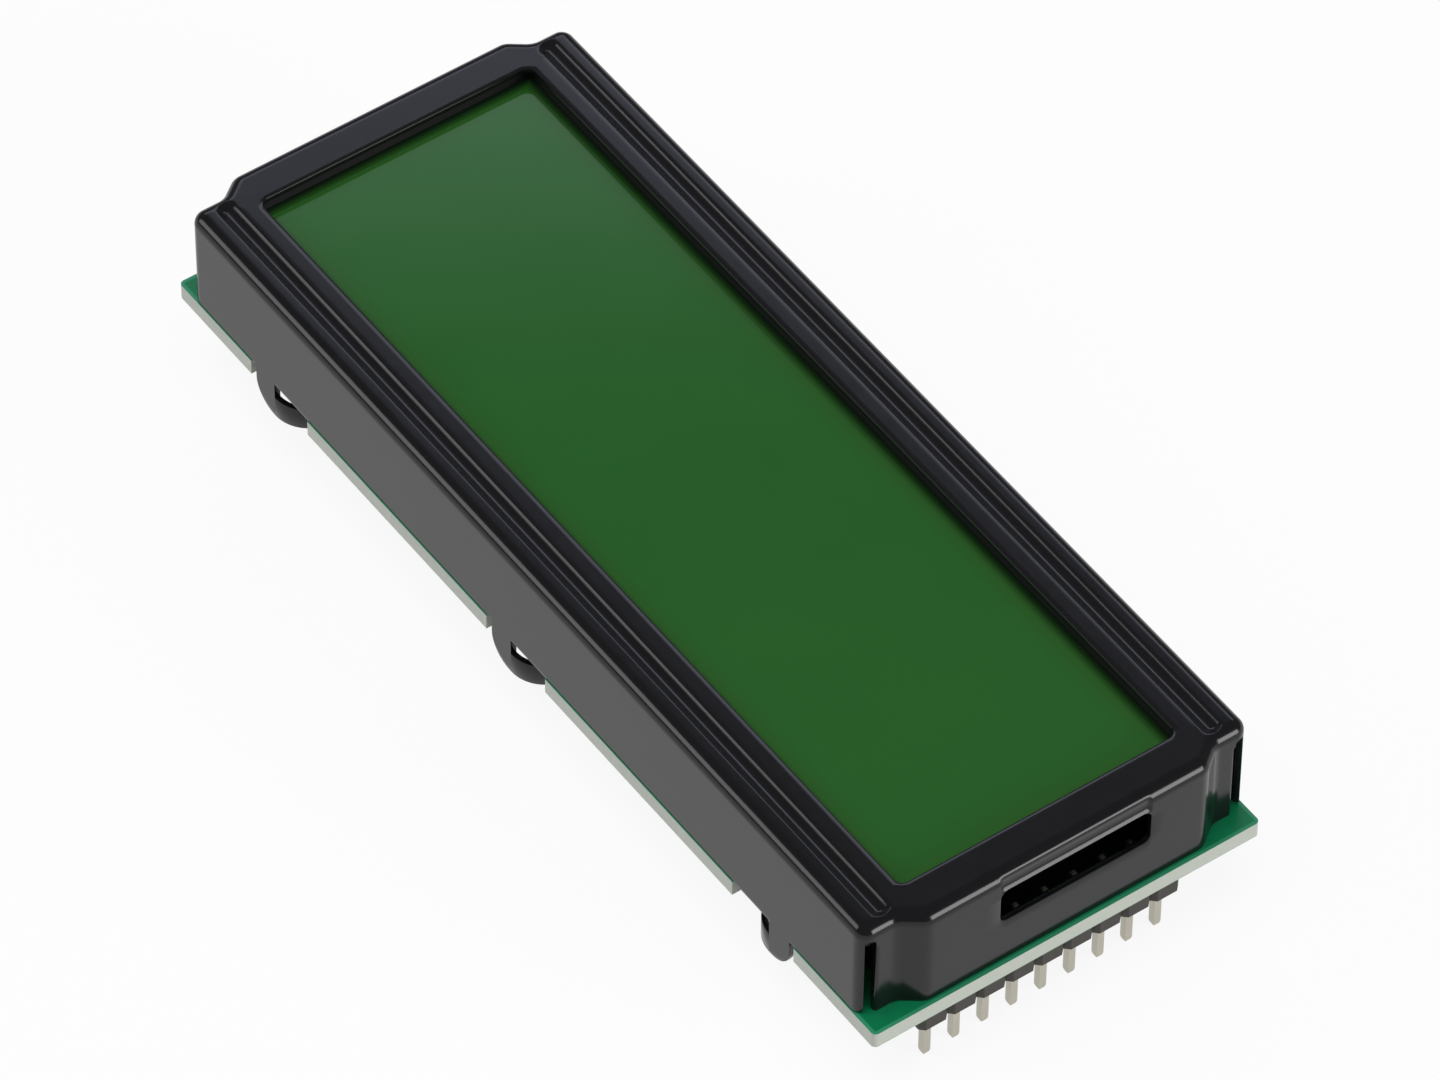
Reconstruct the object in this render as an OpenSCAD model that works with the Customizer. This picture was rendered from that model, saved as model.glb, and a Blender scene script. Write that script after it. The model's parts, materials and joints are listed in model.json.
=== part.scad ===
// Character LCD module: a folded sheet-metal bezel hooked over a circuit board, the glass and
// its backlight between them, and a row of header pins under each end.
// Millimetres, +Z up. X runs along the module. The origin is the middle of the plane of the pin tips.

/* [Circuit board] */
// Length of the board
board_length = 87.6; // [72:0.2:110]
// Width of the board
board_width = 33.8; // [32:0.1:45]
// Thickness of the board
board_thickness = 1.4; // [0.8:0.1:2.4]
// Radius of the board's corners
board_corner = 0.4; // [0.1:0.1:1.5]
// Length of each edge notch that lets a hook through
notch_length = 7.4; // [6.4:0.1:9]
// Depth of each edge notch
notch_depth = 1.35; // [0.8:0.05:1.5]
// Distance from the board's end to the middle of each outer notch
notch_inset = 13.32; // [11:0.01:20]

/* [Bezel sheet] */
// How far the board stands out beyond each end wall
end_margin = 0.4; // [0.1:0.05:0.5]
// How far the board stands out beyond each side wall
side_margin = 0.05; // [0.05:0.05:0.2]
// Height of the bezel above the board
bezel_height = 9.15; // [8.4:0.05:14]
// Thickness of the sheet
sheet = 0.5; // [0.3:0.05:0.55]
// Outside radius of the fold round the top
fold_radius = 1; // [0.7:0.05:1.3]
// How much larger the outside radius of the vertical corners is than that of the fold
corner_extra = 0.1; // [0.05:0.05:0.6]

/* [Bezel end walls] */
// Distance from a side wall's face to the flat that stands out in the middle of each end wall
end_shoulder = 5.25; // [5.2:0.05:6.5]
// Outside radius of the two bends by which the wall steps back on each side of that flat
step_radius = 1.5; // [1.35:0.05:1.8]
// Length of the slope between those two bends
slope_length = 1.2; // [0.2:0.1:1.4]
// Width of the slit left open in the end wall at each corner
slit_width = 1.15; // [0.6:0.05:1.2]
// Distance from the side wall's face to the slit
slit_inset = 0.4; // [0.3:0.05:0.5]
// Radius by which the end wall turns in beside the slit
slit_round = 0.4; // [0.1:0.05:0.45]
// Depth below the fold at which each slit begins
slit_start = 0.3; // [0.2:0.05:2]
// Radius of the side walls' lower corners beside the slits
foot_radius = 1.2; // [0.4:0.1:2]

/* [Bezel window] */
// Width of the bezel's rim at each end of the window
end_rim = 3.55; // [3.5:0.05:8]
// Width of the bezel's rim at each side of the window
side_rim = 4.8; // [4.75:0.05:7]
// Radius of the window's corners
window_corner = 0.7; // [0.2:0.1:3]

/* [Bezel grooves] */
// Distance from the end of each pressed groove to the bezel's end
groove_end = 2.1; // [2:0.05:12]
// Width of each groove at the surface
groove_width = 1.45; // [1:0.05:1.6]
// Depth of each groove
groove_depth = 0.35; // [0.15:0.05:0.4]
// Distance from a side wall's face to the centre line of its groove
groove_inset = 2.45; // [2.3:0.05:2.6]

/* [Bezel slot] */
// Width of the slot in the header end's wall
slot_width = 13.05; // [8:0.05:20]
// Height of the slot
slot_height = 3.15; // [1.6:0.05:5]
// Distance from the fold down to the slot
slot_drop = 0.8; // [0.75:0.05:3]
// How far the slot's middle lies to the side of the module's middle
slot_shift = 0.7; // [-1.5:0.1:1.5]
// Radius of the slot's corners
slot_corner = 0.6; // [0.2:0.05:0.75]
// Depth of the hollow that forms a lip over the slot
lip_hollow = 0.22; // [0.05:0.01:0.25]
// Height of the lip itself, between the slot and that hollow
lip_height = 0.3; // [0.2:0.05:0.35]

/* [Bezel hooks] */
// Width of a hook's neck
neck_width = 2.4; // [1.6:0.1:3]
// Gap between a neck and the near end of its notch
neck_gap = 0.6; // [0.2:0.05:0.9]
// Height of a hook's arm under the board
arm_height = 2; // [1:0.1:2.2]
// Outside radius that the arm is bent to, round a vertical axis
arm_radius = 3; // [2.4:0.1:3.2]
// Angle that the arm is bent through
arm_angle = 72; // [50:1:85]
// Radius of the hook's outer lower corner
hook_corner = 2.2; // [0.5:0.1:2.3]

/* [Glass] */
// Gap between the glass plates' ends and the end walls where they step back
glass_end_gap = 0.38; // [0.3:0.02:0.8]
// Gap between the upper plate's sides and the side walls
glass_side_gap = 0.55; // [0.5:0.05:0.8]
// Thickness of each plate
glass_thickness = 1.1; // [0.5:0.1:1.2]
// Thickness of each polarizer film
polarizer_thickness = 0.25; // [0.15:0.05:0.3]
// Width of the ledge of film that runs under the window's rim
film_margin = 0.9; // [0.5:0.1:1]
// Depth of the screen's surface below the bezel's top
screen_depth = 1.35; // [1.2:0.05:1.6]

/* [Gasket and contact strips] */
// Distance that the gasket is set back from the window's edge
gasket_setback = 0.2; // [0.1:0.05:0.3]
// Width of each elastomer contact strip
strip_width = 1.6; // [1.2:0.1:1.7]
// Distance from the edge of the upper glass to a contact strip
strip_inset = 0.4; // [0.35:0.05:0.6]
// How much shorter a contact strip is than the tray at each end
strip_end = 2.5; // [1:0.1:8]
// Gap between a contact strip and the lower glass or the tray
strip_gap = 0.2; // [0.1:0.05:0.3]

/* [Backlight] */
// Wall of the backlight tray
tray_wall = 0.5; // [0.4:0.05:0.6]
// Floor of the backlight tray
tray_floor = 0.8; // [0.5:0.1:1.2]
// Gap between the tray and the solder at each end
tray_end_gap = 0.28; // [0.2:0.02:0.6]
// Thickness of the reflector sheet
reflector_thickness = 0.2; // [0.1:0.05:0.3]
// Thickness of the diffuser sheet
diffuser_thickness = 0.3; // [0.2:0.05:0.4]
// Gap between the tray and what lies in it
tray_gap = 0.1; // [0.05:0.05:0.2]
// Thickness of the lamp board that stands at the tray's end
lamp_board_thickness = 0.6; // [0.4:0.1:1]
// Number of lamps on the lamp board
lamp_count = 4; // [3:1:6]
// Width of a lamp
lamp_width = 3; // [2:0.1:3.2]
// Height of a lamp
lamp_height = 1.6; // [1:0.1:2.2]
// Depth of a lamp, off its board
lamp_depth = 0.9; // [0.6:0.1:1.2]
// Side of the backlight's two square terminals
terminal_size = 0.5; // [0.3:0.05:0.6]

/* [Headers] */
// Number of pins in each header
pin_count = 9; // [4:1:9]
// Pitch of the pins
pin_pitch = 2.54; // [2:0.01:2.6]
// Side of the square pins
pin_size = 0.64; // [0.4:0.02:0.7]
// Length of a pin below its insulator
pin_tail = 4.25; // [2.5:0.05:8]
// Height of a pin's upper end above the board
pin_head = 2.8; // [1:0.1:3.5]
// Length of the tapered end of a pin
pin_taper = 0.4; // [0.2:0.05:1]
// Width of the flat at the end of a pin
pin_tip = 0.34; // [0.1:0.02:0.38]
// Distance from the board's end to its row of pins
row_inset = 2.12; // [1.95:0.01:2.3]
// How far the rows' middle lies to the side of the module's middle
row_shift = -0.7; // [-1:0.1:1]
// Width and height of the insulators
insulator_size = 2.54; // [2:0.02:2.6]
// Depth of the notches between the insulators' cells
cell_notch = 0.4; // [0.1:0.05:0.6]
// Diameter of the plated holes
hole_diameter = 1; // [0.95:0.05:1.2]
// Height of the solder round each pin
solder_height = 1.1; // [0.5:0.05:1.5]
// Width of the solder round the hole's edge
solder_margin = 0.4; // [0.2:0.05:0.5]
// Thickness of the solder at a pin's edges
solder_skin = 0.02; // [0.01:0.01:0.04]

/* [Board underside] */
// Radius of the two resin caps over the chips
cap_radius = 7.5; // [4:0.1:9]
// Height of the resin caps
cap_height = 1.5; // [0.6:0.1:2.4]
// Distance from the board's end to the middle of each resin cap
cap_inset = 26.8; // [22:0.1:32]
// Number of chip resistors in the row
resistor_count = 6; // [2:1:8]
// Length, width and height of a chip resistor
resistor_size = [2, 1.25, 0.5];
// Number of chip capacitors in the row
capacitor_count = 4; // [1:1:5]
// Length, width and height of a chip capacitor
capacitor_size = [2, 1.25, 1.1];
// Pitch of the chips in a row
chip_pitch = 3.2; // [2.6:0.1:4]
// Distance from the board's side to the middle of each row of chips
chip_inset = 5.4; // [4.5:0.1:7]

/* [Hidden] */
$fn = 64;
cut = 1;

// Heights above the pin tips
board_bottom = pin_tail + insulator_size;
board_top = board_bottom + board_thickness;
bezel_top = board_top + bezel_height;
sheet_under = bezel_top - sheet;
screen_top = bezel_top - screen_depth;
upper_glass_top = screen_top - polarizer_thickness;
lower_glass_top = upper_glass_top - glass_thickness;
lower_glass_bottom = lower_glass_top - glass_thickness;
diffuser_top = lower_glass_bottom - polarizer_thickness;
guide_top = diffuser_top - diffuser_thickness;
reflector_bottom = board_top + tray_floor;
guide_bottom = reflector_bottom + reflector_thickness;

// Overall sizes that follow the board
bezel_length = board_length - 2 * end_margin;
bezel_width = board_width - 2 * side_margin;
window_length = bezel_length - 2 * end_rim;
window_width = bezel_width - 2 * side_rim;
groove_length = bezel_length - 2 * groove_end;
groove_spacing = bezel_width - 2 * groove_inset;
notch_spacing = board_length / 2 - notch_inset;
corner_radius = fold_radius + corner_extra;

// Plan of the bezel. Each step has two bends and a slope between them that runs 3 across to 4 along
slope_normal = [0.8, 0.6];
slope_angle = atan2(3, 4);
end_face = bezel_length / 2;
side_face = bezel_width / 2;
step_start = side_face - end_shoulder;
outer_bend = [end_face - step_radius, step_start];
inner_bend = outer_bend + 2 * step_radius * slope_normal + slope_length * [-0.6, 0.8];
back_face = inner_bend[0] - step_radius;
step_end = inner_bend[1];
corner_centre = [back_face - corner_radius, side_face - corner_radius];

// Slit and slot
fold_start = bezel_top - fold_radius;
slit_end = side_face - slit_inset - slit_width;
slit_top = fold_start - slit_start - slit_width / 2;
slot_top = fold_start - slot_drop;

// Groove: radius of the round press tool, and the height of its axis over the bezel's top
groove_radius = (pow(groove_width / 2, 2) + pow(groove_depth, 2)) / (2 * groove_depth);
groove_rise = groove_radius - groove_depth;

// Where each hook's notch lies, and which way its arm points
hook_places = [[-notch_spacing, 1], [0, 1], [notch_spacing, -1]];

// Glass and contact strips
glass_length = 2 * (back_face - sheet - glass_end_gap);
upper_glass_width = 2 * (side_face - sheet - glass_side_gap);
strip_middle = upper_glass_width / 2 - strip_inset - strip_width / 2;
lower_glass_width = 2 * strip_middle - strip_width - 2 * strip_gap;

// Headers
row_x = board_length / 2 - row_inset;
pin_places = [for (i = [0 : pin_count - 1]) row_shift + (i - (pin_count - 1) / 2) * pin_pitch];
pin_top = board_top + pin_head;
insulator_length = pin_count * pin_pitch;
solder_radius = hole_diameter / 2 + solder_margin;
solder_neck = pin_size * sqrt(2) / 2 + solder_skin;

// Films, tray and lamps
tray_length = 2 * (row_x - solder_radius - tray_end_gap);
tray_width = lower_glass_width;
strip_length = tray_length - 2 * strip_end;
film_length = window_length + 2 * film_margin;
film_width = window_width + 2 * film_margin;
tray_inside = [tray_length - 2 * tray_wall, tray_width - 2 * tray_wall];
nest = [tray_inside[0] - 2 * tray_gap, tray_inside[1] - 2 * tray_gap];
lamp_face = -nest[0] / 2 + lamp_board_thickness;
guide_start = lamp_face + lamp_depth;
guide_length = nest[0] / 2 - guide_start;
guide_middle = guide_start + guide_length / 2;
lamp_pitch = nest[1] / lamp_count;
lamp_places = [for (i = [0 : lamp_count - 1]) (i - (lamp_count - 1) / 2) * lamp_pitch];

// Terminals: each stands between the two outer lamps of its side
terminal_x = lamp_face + terminal_size / 2;
terminal_y = (lamp_count / 2 - 1) * lamp_pitch;
terminal_places = [[terminal_x, -terminal_y], [terminal_x, terminal_y]];
terminal_hole = terminal_size * sqrt(2) + 2 * tray_gap;
terminal_bottom = board_bottom - terminal_size;

// Underside
cap_x = board_length / 2 - cap_inset;
chip_y = board_width / 2 - chip_inset;

// A rectangle with round corners, centred
module rounded_rectangle(length, width, radius) {
    square([length - 2 * radius, width], center = true);
    square([length, width - 2 * radius], center = true);
    for (x = [-1, 1], y = [-1, 1])
        translate([x * (length / 2 - radius), y * (width / 2 - radius)])
            circle(radius);
}

// A plate on its plan, from one height to another
module plate(bottom, top) {
    translate([0, 0, bottom])
        linear_extrude(top - bottom)
            children();
}

// Copies for all four quarters of the plan
module four_quarters() {
    for (x = [0, 1], y = [0, 1])
        mirror([x, 0, 0])
            mirror([0, y, 0])
                children();
}

// The bezel's plan, moved inwards by an inset
module bezel_plan(inset) {
    rounded_rectangle(2 * (back_face - inset), 2 * (side_face - inset), corner_radius - inset);
    outer = outer_bend + (step_radius - inset) * slope_normal;
    inner = inner_bend - (step_radius + inset) * slope_normal;
    for (x = [0, 1])
        mirror([x, 0])
            difference() {
                union() {
                    polygon([
                        [outer_bend[0] - cut, -step_end],
                        [back_face - inset, -step_end],
                        [inner[0], -inner[1]],
                        [outer[0], -outer[1]],
                        [end_face - inset, -step_start],
                        [end_face - inset, step_start],
                        outer,
                        inner,
                        [back_face - inset, step_end],
                        [outer_bend[0] - cut, step_end]
                    ]);
                    for (y = [-1, 1])
                        translate([outer_bend[0], y * outer_bend[1]])
                            circle(step_radius - inset);
                }
                for (y = [-1, 1])
                    translate([inner_bend[0], y * inner_bend[1]])
                        circle(step_radius + inset);
            }
}

// Section of the top fold beside its axis: on the side that x gives, 1 or -1
module fold_section(x) {
    intersection() {
        difference() {
            circle(fold_radius);
            circle(fold_radius - sheet);
        }
        translate([x > 0 ? 0 : -fold_radius, 0])
            square(fold_radius);
    }
}

// The fold along a straight edge that faces +X, from one y to another
module straight_fold(face, from, to) {
    translate([face - fold_radius, to, fold_start])
        rotate([90, 0, 0])
            linear_extrude(to - from)
                fold_section(1);
}

// The fold round a bend; x is 1 where the bend's centre is inside the bezel and -1 where it is outside
module bent_fold(centre, radius, x, start, angle) {
    translate([centre[0], centre[1], fold_start])
        rotate([0, 0, start])
            rotate_extrude(angle = angle)
                translate([radius - x * fold_radius, 0])
                    fold_section(x);
}

// The whole fold round the top
module top_fold() {
    for (turn = [0, 180])
        rotate([0, 0, turn]) {
            straight_fold(end_face, -step_start, step_start);
            rotate([0, 0, 90])
                straight_fold(side_face, -corner_centre[0], corner_centre[0]);
        }
    four_quarters() {
        bent_fold(outer_bend, step_radius, 1, 0, slope_angle);
        translate([outer_bend[0], outer_bend[1], 0])
            rotate([0, 0, slope_angle])
                straight_fold(step_radius, 0, slope_length);
        bent_fold(inner_bend, step_radius, -1, 180, slope_angle);
        straight_fold(back_face, step_end, corner_centre[1]);
        bent_fold(corner_centre, corner_radius, 1, 0, 90);
    }
}

// The round bar, with ball ends, that presses a groove
module groove_tool(radius) {
    run = groove_length / 2 - groove_width / 2;
    translate([-run, 0, 0])
        rotate([0, 90, 0])
            cylinder(h = 2 * run, r = radius);
    for (x = [-run, run])
        translate([x, 0, 0])
            sphere(radius);
}

// Both grooves' tools at their places
module groove_tools(radius) {
    for (y = [-1, 1])
        translate([0, y * groove_spacing / 2, bezel_top + groove_rise])
            groove_tool(radius);
}

// The sheet pushed down under the grooves, joined to the lower half of the bezel's flat sheet
module groove_ribs() {
    intersection() {
        groove_tools(groove_radius + sheet);
        plate(sheet_under - sheet, sheet_under + sheet / 2)
            square([bezel_length, bezel_width], center = true);
    }
}

// The slit in the end wall at a corner, closed by a round at its top
module corner_slit() {
    translate([corner_centre[0], slit_end, board_top - cut])
        cube([2 * corner_radius, slit_width, slit_top - board_top + cut]);
    translate([corner_centre[0], slit_end + slit_width / 2, slit_top])
        rotate([0, 90, 0])
            cylinder(h = 2 * corner_radius, d = slit_width);
}

// What is taken off the end wall's outer edge beside the slit, so that it turns in
module slit_edge_cut() {
    plate(board_top - cut, slit_top)
        translate([back_face - slit_round, slit_end - slit_round])
            difference() {
                square(slit_round + slit_width / 2);
                circle(slit_round);
            }
}

// What is taken off a side wall's lower corner beside the slit
module foot_cut() {
    translate([back_face - foot_radius, side_face + cut, board_top + foot_radius])
        rotate([90, 0, 0])
            linear_extrude(cut + slit_inset)
                difference() {
                    translate([0, -foot_radius - cut])
                        square([foot_radius + cut, foot_radius + cut]);
                    circle(foot_radius);
                }
}

// The hollow over the slot, which leaves the slot's upper edge as a lip
module lip_cut() {
    half_height = (slot_drop - lip_height) / 2;
    hollow_radius = (pow(half_height, 2) + pow(lip_hollow, 2)) / (2 * lip_hollow);
    hollow_axis = end_face + hollow_radius - lip_hollow;
    translate([hollow_axis, slot_shift + slot_width / 2, fold_start - half_height])
        rotate([90, 0, 0])
            cylinder(h = slot_width, r = hollow_radius);
}

// The slot in the wall of the near end
module wall_slot() {
    translate([end_face - sheet - cut / 2, slot_shift, slot_top - slot_height / 2])
        rotate([90, 0, 90])
            linear_extrude(sheet + cut)
                rounded_rectangle(slot_width, slot_height, slot_corner);
}

// One hook on the -Y side: its neck hangs from x = 0 to the neck's width, its arm points to +X
module hook() {
    bottom = board_bottom - arm_height;
    translate([0, -side_face + sheet, 0])
        rotate([90, 0, 0])
            linear_extrude(sheet) {
                translate([0, bottom + hook_corner])
                    square([neck_width, board_top - bottom - hook_corner]);
                translate([hook_corner, bottom])
                    square([neck_width - hook_corner, hook_corner]);
                intersection() {
                    translate([hook_corner, bottom + hook_corner])
                        circle(hook_corner);
                    translate([0, bottom])
                        square(hook_corner);
                }
            }
    translate([neck_width, -side_face + arm_radius, bottom])
        rotate([0, 0, -90])
            rotate_extrude(angle = arm_angle)
                translate([arm_radius - sheet, 0])
                    square([sheet, arm_height]);
}

// The three hooks of each long side
module hooks() {
    for (side = [0, 1], place = hook_places)
        mirror([0, side, 0])
            translate([place[0], 0, 0])
                mirror([place[1] > 0 ? 0 : 1, 0, 0])
                    translate([-notch_length / 2 + neck_gap, 0, 0])
                        hook();
}

module bezel() {
    color("#232326") {
        difference() {
            union() {
                plate(sheet_under, bezel_top)
                    bezel_plan(fold_radius);
                plate(board_top, fold_start)
                    difference() {
                        bezel_plan(0);
                        bezel_plan(sheet);
                    }
                top_fold();
                groove_ribs();
            }
            plate(sheet_under - cut, bezel_top + cut)
                rounded_rectangle(window_length, window_width, window_corner);
            groove_tools(groove_radius);
            four_quarters() {
                corner_slit();
                slit_edge_cut();
                foot_cut();
            }
            wall_slot();
            lip_cut();
        }
        hooks();
    }
}

module circuit_board() {
    color("#147a4a")
        plate(board_bottom, board_top)
            difference() {
                rounded_rectangle(board_length, board_width, board_corner);
                for (x = [-1, 0, 1], y = [-1, 1])
                    translate([x * notch_spacing, y * board_width / 2])
                        square([notch_length, 2 * notch_depth], center = true);
                for (x = [-row_x, row_x], y = pin_places)
                    translate([x, y])
                        circle(d = hole_diameter);
                for (place = terminal_places)
                    translate(place)
                        circle(d = terminal_hole);
            }
}

module window_gasket() {
    color("#101012")
        plate(screen_top, sheet_under)
            difference() {
                square([film_length, film_width], center = true);
                square([window_length + 2 * gasket_setback, window_width + 2 * gasket_setback],
                    center = true);
            }
}

module front_polarizer() {
    color("#2e602c")
        plate(upper_glass_top, screen_top)
            square([film_length, film_width], center = true);
}

module upper_glass() {
    color("#a8c4b4")
        plate(lower_glass_top, upper_glass_top)
            square([glass_length, upper_glass_width], center = true);
}

module lower_glass() {
    color("#9cbcaa")
        plate(lower_glass_bottom, lower_glass_top)
            square([glass_length, lower_glass_width], center = true);
}

module rear_polarizer() {
    color("#5c7c48")
        plate(diffuser_top, lower_glass_bottom)
            square(nest, center = true);
}

// One elastomer strip, from the board up to the upper glass's ledge
module contact_strip(side) {
    color("#c8a8a0")
        plate(board_top, lower_glass_top)
            translate([0, side * strip_middle])
                square([strip_length, strip_width], center = true);
}

module diffuser_sheet() {
    color("#f0f0ea")
        plate(guide_top, diffuser_top)
            square(nest, center = true);
}

module light_guide() {
    color("#d8e8d0")
        plate(guide_bottom, guide_top)
            translate([guide_middle, 0])
                square([guide_length, nest[1]], center = true);
}

module reflector_sheet() {
    color("#e4e4e4")
        plate(reflector_bottom, guide_bottom)
            translate([guide_middle, 0])
                square([guide_length, nest[1]], center = true);
}

// Open tray: its rim carries the lower glass, and its floor has holes for the terminals
module backlight_tray() {
    color("#1c1c1e")
        difference() {
            plate(board_top, lower_glass_bottom)
                square([tray_length, tray_width], center = true);
            plate(reflector_bottom, lower_glass_bottom + cut)
                square(tray_inside, center = true);
            plate(board_top - cut, reflector_bottom + cut)
                for (place = terminal_places)
                    translate(place)
                        circle(d = terminal_hole);
        }
}

module lamp_board() {
    color("#e8e4d4")
        plate(reflector_bottom, guide_top)
            translate([-nest[0] / 2 + lamp_board_thickness / 2, 0])
                square([lamp_board_thickness, nest[1]], center = true);
}

module backlight_lamps() {
    middle = (guide_bottom + guide_top) / 2;
    color("#d8d060")
        for (y = lamp_places)
            translate([lamp_face, y - lamp_width / 2, middle - lamp_height / 2])
                cube([lamp_depth, lamp_width, lamp_height]);
}

module backlight_terminals() {
    color("#c0beb0")
        for (place = terminal_places)
            translate(place)
                plate(terminal_bottom, guide_top)
                    square(terminal_size, center = true);
}

// A header's insulator: square cells with a notch on both faces between each two
module header_body(side) {
    notch = sqrt(2) * cell_notch;
    color("#2c2a28")
        translate([side * row_x, row_shift, 0])
            plate(pin_tail, board_bottom)
                difference() {
                    square([insulator_size, insulator_length], center = true);
                    for (i = [0 : pin_count], x = [-1, 1])
                        translate([x * insulator_size / 2, (i - pin_count / 2) * pin_pitch])
                            rotate(45)
                                square(notch, center = true);
                    for (y = pin_places)
                        translate([0, y - row_shift])
                            square(pin_size, center = true);
                }
}

// Side view of a pin, with both ends tapered
module pin_profile() {
    flat = pin_tip / 2;
    polygon([
        [-flat, 0],
        [flat, 0],
        [pin_size / 2, pin_taper],
        [pin_size / 2, pin_top - pin_taper],
        [flat, pin_top],
        [-flat, pin_top],
        [-pin_size / 2, pin_top - pin_taper],
        [-pin_size / 2, pin_taper]
    ]);
}

// A pin seen from one side: the profile stood up and turned about the pin's axis
module pin_side(turn) {
    rotate([90, 0, turn])
        linear_extrude(2 * pin_size, center = true)
            pin_profile();
}

module header_pins(side) {
    color("#bebcaf")
        for (y = pin_places)
            translate([side * row_x, y, 0])
                intersection() {
                    pin_side(0);
                    pin_side(90);
                }
}

// Half section of a solder joint: it fills the plated hole and rises to the pin in a hollow curve
function solder_curve(steps) = [
    for (i = [0 : steps])
        let (angle = 90 * i / steps)
            [
                solder_neck + (solder_radius - solder_neck) * (1 - sin(angle)),
                board_top + solder_height * (1 - cos(angle))
            ]
];

module solder(side) {
    color("#c6c6c2")
        for (y = pin_places)
            translate([side * row_x, y, 0])
                difference() {
                    rotate_extrude()
                        polygon(concat(
                            [[0, board_bottom], [hole_diameter / 2, board_bottom],
                                [hole_diameter / 2, board_top]],
                            solder_curve(4),
                            [[0, board_top + solder_height]]
                        ));
                    translate([-pin_size / 2, -pin_size / 2, board_bottom - cut])
                        cube([pin_size, pin_size, board_thickness + solder_height + 2 * cut]);
                }
}

// A resin cap under the board: a round dome
module chip_cap(side) {
    dome = (pow(cap_radius, 2) + pow(cap_height, 2)) / (2 * cap_height);
    color("#161616")
        translate([side * cap_x, 0, board_bottom])
            rotate_extrude()
                intersection() {
                    translate([0, dome - cap_height])
                        circle(dome, $fn = 200);
                    translate([0, -cap_height])
                        square([cap_radius, cap_height]);
                }
}

// A row of chips under the board
module chip_row_of(count, size, y) {
    for (i = [0 : count - 1])
        translate([(i - (count - 1) / 2) * chip_pitch, y, board_bottom - size[2] / 2])
            cube([size[1], size[0], size[2]], center = true);
}

module chip_resistors() {
    color("#202020")
        chip_row_of(resistor_count, resistor_size, chip_y);
}

module chip_capacitors() {
    color("#a08060")
        chip_row_of(capacitor_count, capacitor_size, -chip_y);
}

circuit_board();
bezel();
window_gasket();
front_polarizer();
upper_glass();
lower_glass();
rear_polarizer();
contact_strip(-1);  // contact_strip_left
contact_strip(1);  // contact_strip_right
diffuser_sheet();
light_guide();
reflector_sheet();
backlight_tray();
lamp_board();
backlight_lamps();
backlight_terminals();
header_body(1);  // header_body_near
header_body(-1);  // header_body_far
header_pins(1);  // header_pins_near
header_pins(-1);  // header_pins_far
solder(1);  // solder_near
solder(-1);  // solder_far
chip_cap(1);  // chip_cap_near
chip_cap(-1);  // chip_cap_far
chip_resistors();
chip_capacitors();
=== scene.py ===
"""Character LCD module: finishes, detail pieces, light and camera, in metres in the frame of the solids."""
import json
import math

import bmesh
import bpy
import numpy as np
from mathutils import Matrix, Vector


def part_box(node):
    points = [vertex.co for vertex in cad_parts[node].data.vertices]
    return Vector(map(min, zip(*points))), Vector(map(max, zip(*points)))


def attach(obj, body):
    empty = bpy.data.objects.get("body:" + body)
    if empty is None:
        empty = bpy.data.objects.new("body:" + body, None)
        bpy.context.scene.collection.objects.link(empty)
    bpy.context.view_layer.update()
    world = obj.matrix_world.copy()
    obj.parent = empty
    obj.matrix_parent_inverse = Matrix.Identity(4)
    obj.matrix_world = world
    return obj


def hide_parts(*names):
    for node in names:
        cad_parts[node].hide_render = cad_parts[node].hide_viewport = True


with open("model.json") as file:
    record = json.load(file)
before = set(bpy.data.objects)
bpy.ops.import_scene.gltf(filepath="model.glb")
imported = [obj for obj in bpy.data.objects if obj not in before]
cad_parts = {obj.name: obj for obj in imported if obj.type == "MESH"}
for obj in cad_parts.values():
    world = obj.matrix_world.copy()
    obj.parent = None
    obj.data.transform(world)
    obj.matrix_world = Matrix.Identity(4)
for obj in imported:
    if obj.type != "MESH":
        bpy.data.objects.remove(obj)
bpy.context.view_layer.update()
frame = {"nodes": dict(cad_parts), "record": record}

MM = 0.001

# Farther out than any point of the module, in metres
FAR = 1.0

# The finishes' grain: lumps to the metre, and how deep they are
GRAIN_SCALE = 9000.0
GRAIN_DEPTH = 0.02 * MM


# ---------------------------------------------------------------- node helpers

def add(tree, kind, **settings):
    """A node of a tree, with its properties and its unlinked inputs set by name."""
    node = tree.nodes.new(kind)
    for name, value in settings.items():
        if hasattr(node, name):
            setattr(node, name, value)
        else:
            node.inputs[name.replace("_", " ")].default_value = value
    return node


def maths(tree, operation, *terms):
    """The output of a Math node. Each term is a number or another node's output."""
    node = add(tree, "ShaderNodeMath", operation=operation)
    for socket, term in zip(node.inputs, terms):
        if isinstance(term, bpy.types.NodeSocket):
            tree.links.new(term, socket)
        else:
            socket.default_value = term
    return node.outputs["Value"]


def point_axes(tree):
    """The X, Y and Z of a point in its object, in metres, as three outputs."""
    place = tree.nodes.new("ShaderNodeTexCoord")
    split = tree.nodes.new("ShaderNodeSeparateXYZ")
    tree.links.new(place.outputs["Object"], split.inputs["Vector"])
    return split.outputs


def material(name):
    """An empty material: its node tree, with a Principled shader wired to the output."""
    made = bpy.data.materials.new(name)
    made.use_nodes = True
    tree = made.node_tree
    tree.nodes.clear()
    shader = tree.nodes.new("ShaderNodeBsdfPrincipled")
    output = tree.nodes.new("ShaderNodeOutputMaterial")
    tree.links.new(shader.outputs["BSDF"], output.inputs["Surface"])
    return made, tree, shader


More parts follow.
